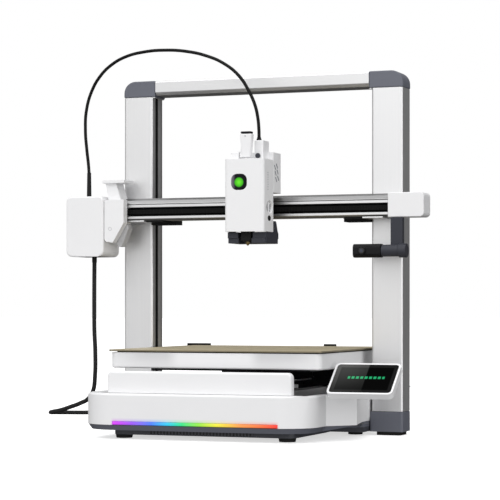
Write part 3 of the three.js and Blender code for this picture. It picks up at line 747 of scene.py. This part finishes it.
# ---- operators ------------------------------------------------------------------------------------------
class PRINTER_OT_studio(bpy.types.Operator):
    """Camera, lights, pale floor and surroundings"""
    bl_idname = "printer.studio"
    bl_label = "Studio"

    def execute(self, context):
        lens = bpy.data.cameras.new("studio_camera")
        lens.lens = 137.83
        lens.sensor_width = 36.0
        lens.shift_y = 0.1109
        lens.clip_end = 60
        camera = bpy.data.objects.new("studio_camera", lens)
        camera.location = (0.84967, -2.23407, 0.1587)
        camera.rotation_euler = (math.pi / 2, 0, math.radians(20.76))
        context.scene.collection.objects.link(camera)
        context.scene.camera = camera
        bpy.ops.mesh.primitive_plane_add(size=40, location=(0, 0, 0))
        floor = bpy.context.object
        floor.name = "studio_floor"
        finish = Finish("studio floor")
        haze = finish.noise(3, 2)
        finish.shade(
            base_color=finish.mix(haze, (0.8, 0.8, 0.8), (0.82, 0.82, 0.82)), roughness=0.9,
            emission_color=(1, 1, 1), emission_strength=0.62)
        floor.data.materials.append(finish.material)
        floor.visible_diffuse = False
        floor.visible_glossy = False
        for name, place, size, power in (
                ("key", (-1.3, -1.9, 2.1), 1.3, 15),
                ("front", (0.1, -3.0, 1.1), 1.8, 9),
                ("top", (0.0, 0.2, 2.4), 1.8, 17)):
            lamp = bpy.data.lights.new(name, "AREA")
            lamp.size = size
            lamp.energy = power
            light = bpy.data.objects.new(name, lamp)
            light.location = place
            aim = Vector((0, 0, 0.2)) - light.location
            light.rotation_euler = aim.to_track_quat("-Z", "Y").to_euler()
            context.scene.collection.objects.link(light)
        self.surround(context.scene)
        context.scene.view_settings.view_transform = "Standard"
        return {"FINISHED"}

    def surround(self, scene):
        """A white room, bright in front and to the left, dim behind and to the right."""
        world = bpy.data.worlds.new("studio")
        scene.world = world
        room = NodeBench(world)
        room.read_axes("Generated")
        front = 1 - room.y.rise(-0.8, 0.55)
        strip = (room.x * 0.935 - room.y * 0.355).rise(0.9, 0.975)
        above = room.z.rise(-0.45, 0.1) * 0.5 + 0.5
        strength = (front * 0.76 + 0.13 + strip * 1.9) * above + room.z.rise(0.2, 1.0) * 0.55
        lit = room.node("ShaderNodeBackground", None, {"Color": (1, 1, 1), "Strength": strength})
        plain = room.node("ShaderNodeBackground", None, {"Color": (1, 1, 1), "Strength": 1.0})
        seen = room.node("ShaderNodeLightPath", output="Is Camera Ray")
        chosen = room.node("ShaderNodeMixShader", None, {0: seen, 1: lit, 2: plain})
        room.node("ShaderNodeOutputWorld", None, {0: chosen}, None)


class PRINTER_OT_cords(bpy.types.Operator):
    """Filament tube and control cable, with their sleeves"""
    bl_idname = "printer.cords"
    bl_label = "Cords"

    def line(self, name, route, diameter, finish):
        curve = bpy.data.curves.new(name, "CURVE")
        curve.dimensions = "3D"
        curve.resolution_u = 8
        curve.bevel_depth = diameter / 2
        curve.bevel_resolution = 5
        curve.use_fill_caps = True
        spline = curve.splines.new("BEZIER")
        spline.bezier_points.add(len(route) - 1)
        for point, place in zip(spline.bezier_points, route):
            point.co = at(*place)
            point.handle_left_type = point.handle_right_type = "AUTO"
        cord = bpy.data.objects.new(name, curve)
        curve.materials.append(finish_of(finish))
        bpy.context.scene.collection.objects.link(cord)
        bpy.context.view_layer.update()
        return cord, spline.calc_length()

    def execute(self, context):
        sizes = context.scene.printer_sizes
        tube, length = self.line("bent_filament_tube", TUBE_ROUTE, sizes.tube, "tube")
        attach(tube, "gantry")
        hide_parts("filament_tube")
        cable, length = self.line("bent_control_cable", CABLE_ROUTE, sizes.cable, "sleeve")
        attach(cable, "frame")
        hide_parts("umbilical_cable")
        sleeve = rod("tube_sleeve_piece", "z", (-224.2, -24, 313.2), 3.0, 31.6, 24, tip=2.5)
        finished(sleeve, 0.4, 2, "gantry", "rubber", "rubber", "tube_sleeve")
        return {"FINISHED"}


class PRINTER_OT_base(bpy.types.Operator):
    """White base, its raised front, its tray, feet and light strip"""
    bl_idname = "printer.base"
    bl_label = "Base"

    def execute(self, context):
        shell = softened("base_shell", "white_base")
        low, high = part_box("base_shell")
        bevelled(
            shell, 0.0032, 5,
            lambda a, b: min(a.z, b.z) > high.z - 0.0001 and self.is_outer(a, b, low, high),
            clamp_overlap=True)
        undercut = drawn("cut", "x", [(-89.9, 17), (-38, 17), (-38, 24.6), (-89.9, 17.7)], 130, 158)
        carved(shell, undercut)
        finished(shell, 0.5, 2, "frame", "white_plastic", "lit", "base_shell")
        cover = softened("step_cover", "raised_front")
        low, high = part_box("step_cover")
        bevelled(
            cover, 0.0026, 4,
            lambda a, b: max(a.y, b.y) < low.y + 0.0001 and max(a.z, b.z) > low.z + 0.001,
            clamp_overlap=True)
        finished(cover, 0.5, 2, "frame", "white_plastic", "white", "step_cover")
        tray, pads = parted("base_tray", "slate_tray", "bar_pads", 0.0046)
        fitted(rounded(tray, 0.8), "frame", "slate_plastic", "tray", "base_tray")
        fitted(rounded(pads, 0.4, 2), "frame", "rubber", "rubber", "base_tray")
        copies_of_nodes([
            ("light_bar", "light_strip_piece", "frame", "light", "strip", 1.0),
        ])
        for end in ("front", "rear"):
            for side in ("left", "right"):
                node = f"foot_{end}_{side}"
                low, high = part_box(node)
                middle = (low + high) / 2 - PLAN_ORIGIN
                foot = rod(f"rubber_{node}", "z", (middle.x / MM, middle.y / MM, 2.2), 9.6, 4.4, 36, tip=10.5)
                with shaping(foot):
                    pick_faces(foot, lambda centre, normal: normal.z < -0.9)
                    bpy.ops.mesh.inset(thickness=0.0025)
                    bpy.ops.mesh.inset(thickness=0.0004, depth=-0.0008)
                finished(foot, 0.3, 2, "frame", "rubber", "rubber", node)
        return {"FINISHED"}

    def is_outer(self, a, b, low, high):
        """True for an edge on the base's outer plan, and false for one around its open bay."""
        inner_left, inner_right = at(-137.5, 0, 0).x, at(121.5, 0, 0).x
        inner_front, inner_rear = at(0, -180.5, 0).y, at(0, 163.5, 0).y
        middle = (a + b) / 2
        return not (inner_left < middle.x < inner_right and inner_front < middle.y < inner_rear)


class PRINTER_OT_screen(bpy.types.Operator):
    """Tilted touch screen"""
    bl_idname = "printer.screen"
    bl_label = "Screen"

    def execute(self, context):
        copies_of_nodes([
            ("screen_housing", "screen_case", "frame", "white_plastic", "white", 0.9),
            ("screen_glass", "screen_pane", "frame", "glass", "screen", 0.3),
        ])
        return {"FINISHED"}


class PRINTER_OT_uprights(bpy.types.Operator):
    """Columns, their feet and caps, and the top beam"""
    bl_idname = "printer.uprights"
    bl_label = "Uprights"

    def execute(self, context):
        for side in ("left", "right"):
            self.column(side)
            copies_of_nodes([
                (f"corner_cap_{side}", f"corner_{side}", "frame", "slate_plastic", "slate", 1.3),
            ])
            self.foot(side)
        for side, left, right in (("left", -146, -143.3), ("right", 143.3, 146)):
            lip = block(f"corner_bracket_{side}", (left, 1, 424.0), (right, 31, 425.1))
            finished(lip, 0.2, 2, "frame", "aluminium", "clamp")
        copies_of_nodes([("top_beam", "cross_beam", "frame", "aluminium", "cross", 0.6)])
        return {"FINISHED"}

    def column(self, side):
        """A channel whose outer corners are rounded along its whole height."""
        column = softened(f"column_{side}", f"upright_{side}")
        low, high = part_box(f"column_{side}")

        def is_corner(a, b):
            return abs(a.z - b.z) > 0.1 and all(
                min(abs(value - low[i]), abs(value - high[i])) < 0.0001 for i, value in ((0, a.x), (1, a.y)))

        bevelled(column, 0.0024, 5, is_corner)
        finished(column, 0.3, 2, "frame", "aluminium", "column", f"column_{side}")

    def foot(self, side):
        """The slate block, with its black pad as a second piece below it."""
        node = f"column_foot_{side}"
        foot, pad = parted(node, f"slate_foot_{side}", f"foot_pad_{side}", 0.0043)
        fitted(rounded(foot, 1.2), "frame", "slate_plastic", "slate", node)
        fitted(rounded(pad, 0.5), "frame", "rubber", "rubber", node)


class PRINTER_OT_drives(bpy.types.Operator):
    """Motors, screws, rails, belts and the electronics inside the base"""
    bl_idname = "printer.drives"
    bl_label = "Drives"

    def execute(self, context):
        copies_of_nodes([
            ("y_motor", "bed_motor", "frame", "motor_black", "motor", 1.5),
            ("z_motor_left", "lift_motor_left", "frame", "motor_black", "motor", 1.2),
            ("z_motor_right", "lift_motor_right", "frame", "motor_black", "motor", 1.2),
            ("power_supply", "supply_box", "frame", "steel", "supply", 0.8),
            ("main_board", "control_board", "frame", "circuit", "circuit", 0.3),
            ("y_rail_left", "bed_rail_left", "frame", "aluminium", "rail", 0.5),
            ("y_rail_right", "bed_rail_right", "frame", "aluminium", "rail", 0.5),
            ("y_belt", "bed_belt", "frame", "rubber", "belt", 0.15),
            ("power_inlet", "inlet_frame", "frame", "black_plastic", "black", 0.6),
            ("power_switch", "rocker", "switch", "black_plastic", "black", 0.6),
            ("cable_gland", "cable_grommet", "frame", "rubber", "rubber", 0.8),
        ])
        for side, sign in (("left", -1), ("right", 1)):
            screw = rod(f"screw_{side}_piece", "z", (sign * 163, 13.4, 246.5), 4, 356.2, 24)
            finished(screw, 0.4, 2, f"screw_{side}", "steel", "thread", f"lead_screw_{side}")
        wheel = rod("bed_pulley", "x", (0, 140, 42), 5.9, 6.9, 32)
        finished(wheel, 0.4, 2, "y_drive", "steel", "thread", "y_pulley")
        return {"FINISHED"}


class PRINTER_OT_bed(bpy.types.Operator):
    """Build plate, its white rim, the heated bed and the sliding carriage"""
    bl_idname = "printer.bed"
    bl_label = "Bed"

    def execute(self, context):
        plate = softened("build_plate", "spring_plate")
        bevelled(plate, 0.004, 5, lambda a, b: abs(a.z - b.z) > 0.001)
        finished(plate, 0.25, 2, "bed", "spring_steel", "plate", "build_plate")
        rim = softened("bed_skirt", "bed_rim")
        low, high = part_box("bed_skirt")
        inner = 0.005
        bevelled(
            rim, 0.0022, 4,
            lambda a, b: max(a.z, b.z) < low.z + 0.0001 and self.at_rim(a, b, low, high, inner))
        finished(rim, 0.5, 2, "bed", "white_plastic", "rim", "bed_skirt")
        web = block("carriage_web", (-64.3, 32.7, 68.4), (46.5, 39.3, 85.9))
        finished(web, 0.8, 2, "bed", "black_plastic", "black")
        wing = block("carriage_wing", (46.7, 32.7, 59.2), (116.3, 79.3, 85.9))
        bevelled(wing, 0.009, 6, lambda a, b: max(a.z, b.z) < 0.06 and abs(a.y - b.y) > 0.02)
        finished(wing, 0.8, 2, "bed", "black_plastic", "black")
        keel = block("carriage_keel", (31, 32.7, 59.2), (46.5, 38.6, 65.6))
        finished(keel, 0.8, 2, "bed", "black_plastic", "black")
        guide = rod("guide_rod", "y", (57.5, 5, 67), 1.1, 312, 20)
        finished(guide, 0.3, 2, "frame", "steel", "clamp")
        for end, front in (("front", -158), ("rear", 161.6)):
            post = block(f"guide_post_{end}", (54.5, front, 55), (60.5, front + 4.4, 69.5))
            finished(post, 0.6, 2, "frame", "black_plastic", "black")
        copies_of_nodes([
            ("heat_bed", "heated_bed", "bed", "aluminium", "black", 0.5),
            ("bed_carriage", "carriage", "bed", "aluminium", "black", 0.6),
        ])
        return {"FINISHED"}

    def at_rim(self, a, b, low, high, inner):
        middle = (a + b) / 2
        return not (low.x + inner < middle.x < high.x - inner and low.y + inner < middle.y < high.y - inner)


class PRINTER_OT_crossbeam(bpy.types.Operator):
    """Moving beam, its belt, right end and carriages"""
    bl_idname = "printer.crossbeam"
    bl_label = "Moving beam"

    def execute(self, context):
        profile = [
            (-4.3, 265.9), (-4.3, 275.5), (-8.5, 275.5), (-8.5, 284.3), (-4.3, 284.3), (-4.3, 293.9),
            (-26.3, 293.9), (-29.9, 291.3), (-32.3, 286.9), (-31.1, 286.6), (-31.1, 285.9), (-32.3, 285.6),
            (-32.3, 282), (-13.6, 282), (-13.6, 271.8), (-32.3, 271.8), (-32.3, 268.3), (-29.9, 265.9),
        ]
        beam = drawn("slotted_beam", "x", profile, -171, 176.5)
        rounded(beam, 0.25, 2, 25)
        fitted(beam, "gantry", "aluminium", "beam", "x_beam")
        copies_of_nodes([
            ("end_cap_right", "beam_end", "gantry", "white_plastic", "white", 1.2),
            ("x_belt", "beam_belt", "gantry", "rubber", "belt", 0.15),
            ("x_motor", "beam_motor", "gantry", "motor_black", "motor", 1.5),
            ("z_carriage_left", "lift_block_left", "gantry", "black_plastic", "black", 0.5),
            ("z_carriage_right", "lift_block_right", "gantry", "black_plastic", "black", 0.5),
        ])
        for name, left, right in (("left", -170.6, -144), ("right", 144, 170)):
            clamp = block(f"beam_clamp_{name}", (left, -31.2, 264.2), (right, -6, 266.1))
            finished(clamp, 0.5, 2, "gantry", "aluminium", "clamp")
        wheel = rod("beam_pulley", "z", (-219, -23.4, 276.9), 5.9, 6.9, 32)
        finished(wheel, 0.4, 2, "x_drive", "steel", "thread", "x_pulley")
        return {"FINISHED"}


class PRINTER_OT_control_box(bpy.types.Operator):
    """Control box, its bracket, hanging hook and latch"""
    bl_idname = "printer.control_box"
    bl_label = "Control box"

    def execute(self, context):
        box, stub = parted("hub_box", "control_case", "cable_stub", 0.2206)
        bpy.data.objects.remove(stub)
        collar = rod("cable_collar", "z", (-216.7, -24, 217.2), 3.1, 7.4, 24)
        finished(collar, 0.4, 2, "gantry", "rubber", "rubber", "hub_box")
        mark = ring("bracket_mark", "y", (-184.7, -46.05, 255.5), 2.1, 0.22)
        fitted(mark, "gantry", "grey_plastic", "grey")
        low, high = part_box("hub_box")
        bevelled(
            box, 0.0022, 4,
            lambda a, b: max(a.y, b.y) < low.y + 0.0001 or min(a.y, b.y) > high.y - 0.0001)
        finished(box, 0.4, 2, "gantry", "white_plastic", "white", "hub_box")
        copies_of_nodes([
            ("left_bracket", "beam_bracket", "gantry", "white_plastic", "white", 1.1),
            ("latch_lever", "latch", "latch", "grey_plastic", "grey", 1.0),
        ])
        return {"FINISHED"}


class PRINTER_OT_camera_unit(bpy.types.Operator):
    """Small camera on its barrel under the beam"""
    bl_idname = "printer.camera_unit"
    bl_label = "Camera unit"

    def execute(self, context):
        copies_of_nodes([
            ("camera_arm", "camera_barrel", "gantry", "slate_plastic", "dark", 0.7),
            ("camera_module", "camera_case", "camera", "black_plastic", "black", 0.7),
        ])
        lens = rod("camera_lens", "y", (148.4, -48.3, 224.5), 3.6, 1.2, 32)
        finished(lens, 0.3, 2, "camera", "glass", "lens")
        return {"FINISHED"}


class PRINTER_OT_toolhead(bpy.types.Operator):
    """Toolhead: cover, lens, back, hood, levers, duct, fan and nozzle"""
    bl_idname = "printer.toolhead"
    bl_label = "Toolhead"

    def execute(self, context):
        self.cover()
        self.back()
        self.top()
        self.duct()
        self.nozzle()
        copies_of_nodes([
            ("head_carriage", "head_slider", "head", "black_plastic", "black", 0.6),
            ("status_window", "status_lens", "head", "glass", "status", 0.5),
            ("extruder_gear", "feed_gear", "gear", "dark_plastic", "dark", 0.4),
        ])
        self.fan()
        return {"FINISHED"}

    def cover(self):
        shell = softened("toolhead_cover", "head_cover")
        low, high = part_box("toolhead_cover")
        bevelled(shell, 0.002, 4, lambda a, b: min(a.z, b.z) > high.z - 0.0001)
        openings = []
        for height, tall, half in ((277.8, 8.0, 10.3), (264.3, 3.3, 6.2)):
            middle = (39, -69.9, height)
            opening = rod("cut", "x", middle, tall, 4, 40)
            with shaping(opening, "VERT"):
                bpy.ops.mesh.select_all(action="SELECT")
                bpy.ops.transform.resize(value=(1, half / tall, 1), center_override=at(*middle))
            openings.append(opening)
        carved(shell, *openings)
        finished(shell, 0.5, 2, "head", "white_plastic", "white", "toolhead_cover")
        # Painted light in the side openings: a black sheet for the shade inside the fan opening, a white bar
        # for its highlight, and a black block for the shade behind the port.
        for name, low, high, finish in (
                ("shaded_fan_grille", (36.2, -80, 269.6), (37.0, -60, 286), "black"),
                ("painted_highlight_bar", (37.2, -72.4, 271), (38.6, -70.2, 284.6), "white"),
                ("fan_guard_rear", (37.2, -68.2, 271.4), (38.3, -67.6, 281), "slate"),
                ("side_port_shade", (37.2, -76, 261), (38.2, -63.4, 267.6), "black")):
            panel = block(name, low, high)
            finished(panel, 0.3, 2, "head", "dark_plastic", finish)
        vents = [rod("vent", "x", (38.95, -75.9, 299 + 2.9 * i), 0.75, 0.3, 12) for i in range(8)]
        fitted(merged("side_vents", *vents), "head", "dark_plastic", "slate")

    def back(self):
        back = softened("toolhead_back", "head_back")
        finished(back, 1.0, 3, "head", "white_plastic", "white", "toolhead_back")
        strokes = []
        for y, z in ((-51, 327), (-44, 329), (-49, 320), (-42, 322), (-47, 312.5), (-40, 314.5)):
            stroke = block("stroke", (38.7, y - 0.9, z - 3.4), (39.15, y + 0.9, z + 3.4))
            with shaping(stroke):
                bpy.ops.mesh.select_all(action="SELECT")
                bpy.ops.transform.rotate(
                    value=math.radians(-38), orient_axis="X", center_override=at(39, y, z))
            strokes.append(stroke)
        fitted(merged("back_vents", *strokes), "head", "dark_plastic", "slate")

    def top(self):
        handle = drawn(
            "lever_handle", "y", [(9.6, 337.6), (19.2, 337.6), (21.6, 366), (6.2, 366)], -86, -77.2)
        finished(handle, 0.9, 3, "lever", "white_plastic", "white", "release_lever")
        flank = drawn("lever_flank", "y", [(5.1, 337.7), (12, 337.7), (12, 356), (7.4, 352)], -84, -77.4)
        finished(flank, 0.8, 3, "lever", "white_plastic", "white", "release_lever")
        cap = block("lever_cap", (7.2, -85.6, 366.4), (20.6, -77.6, 369.0))
        finished(cap, 0.8, 3, "lever", "black_plastic", "black")
        dot = rod("lever_dot", "y", (13.4, -86.05, 363.4), 1.0, 0.5, 20)
        finished(dot, 0.12, 1, "lever", "grey_plastic", "grey")
        knob = rod("tension_knob", "y", (25.7, -75.3, 340), 3.1, 2.4, 28)
        finished(knob, 0.5, 2, "head", "dark_plastic", "dark")
        collar = rod("fitting_collar", "z", (23.5, -65, 360.2), 3.1, 2.0, 28)
        neck = rod("neck", "z", (23.5, -65, 362.0), 2.5, 2.2, 28)
        piece = merged("tube_coupler", collar, neck)
        finished(piece, 0.4, 2, "head", "black_plastic", "black", "tube_fitting")

    def duct(self):
        duct = softened("fan_duct", "fan_duct_piece")
        finished(duct, 0.8, 2, "head", "dark_plastic", "dark", "fan_duct")
        facet = drawn("duct_facet", "z", [
            (20, -82.2), (37, -82.2), (39.4, -78), (39.4, -57), (26, -57), (24, -70)], 234.1, 240)
        with shaping(facet, "VERT"):
            mesh = bmesh.from_edit_mesh(facet.data)
            for vertex in mesh.verts:
                if vertex.co.z > 0.2395:
                    lean = (vertex.co.y - at(0, -82.2, 0).y) / 0.0252
                    vertex.co.z += 0.0072 * lean
            bmesh.update_edit_mesh(facet.data)
        finished(facet, 0.4, 2, "head", "dark_plastic", "dark")

    def nozzle(self):
        sock = block("heater_sock", (5.4, -80, 237.2), (18.4, -66.2, 248.8))
        with shaping(sock):
            pick_faces(sock, lambda centre, normal: normal.z < -0.9)
            bpy.ops.mesh.inset(thickness=0.0022)
            bpy.ops.mesh.extrude_region_move(TRANSFORM_OT_translate={"value": (0, 0, -0.0012)})
        finished(sock, 0.5, 2, "head", "rubber", "rubber", "hot_end")
        hexagon = rod("hex", "z", (11.9, -73, 235.6), 3.6, 1.8, 6)
        cone = rod("cone", "z", (11.9, -73, 233.0), 0.7, 3.4, 28, tip=3.2)
        piece = merged("brass_nozzle", hexagon, cone)
        finished(piece, 0.15, 2, "head", "brass", "brass", "hot_end")

    def fan(self):
        hub = rod("hub", "x", (30, -72, 285), 5, 7.6, 28)
        blades = []
        for i in range(9):
            blade = block("blade", (26.4, -72.5, 289.4), (33.6, -71.7, 297.6))
            with shaping(blade):
                bpy.ops.mesh.select_all(action="SELECT")
                middle = at(30, -72, 285)
                bpy.ops.transform.rotate(
                    value=math.radians(25), orient_axis="Z", center_override=at(30, -72.1, 293))
                bpy.ops.transform.rotate(
                    value=math.radians(40 * i), orient_axis="X", center_override=middle)
            blades.append(blade)
        piece = merged("fan_wheel", hub, *blades)
        finished(piece, 0.25, 2, "fan", "black_plastic", "black", "fan_rotor")


OPERATORS = (
    PRINTER_OT_studio, PRINTER_OT_cords, PRINTER_OT_base, PRINTER_OT_screen, PRINTER_OT_uprights,
    PRINTER_OT_drives, PRINTER_OT_bed, PRINTER_OT_crossbeam, PRINTER_OT_control_box, PRINTER_OT_camera_unit,
    PRINTER_OT_toolhead,
)


class PRINTER_PT_panel(bpy.types.Panel):
    """Lists the printer's settings and its building steps"""
    bl_idname = "PRINTER_PT_panel"
    bl_label = "Filament printer"
    bl_space_type = "VIEW_3D"
    bl_region_type = "UI"
    bl_category = "Printer"

    def draw(self, context):
        for group in (context.scene.printer_looks, context.scene.printer_sizes):
            for name in type(group).__annotations__:
                self.layout.prop(group, name)
        for operator in OPERATORS:
            self.layout.operator(operator.bl_idname)


CLASSES = (PrinterLooks, PrinterSizes, *OPERATORS, PRINTER_PT_panel)


def register():
    for kind in CLASSES:
        bpy.utils.register_class(kind)
    bpy.types.Scene.printer_looks = bpy.props.PointerProperty(type=PrinterLooks)
    bpy.types.Scene.printer_sizes = bpy.props.PointerProperty(type=PrinterSizes)


def unregister():
    del bpy.types.Scene.printer_sizes
    del bpy.types.Scene.printer_looks
    for kind in reversed(CLASSES):
        bpy.utils.unregister_class(kind)


def main():
    register()
    for operator in OPERATORS:
        group, name = operator.bl_idname.split(".")
        getattr(getattr(bpy.ops, group), name)()


if __name__ == "__main__":
    main()
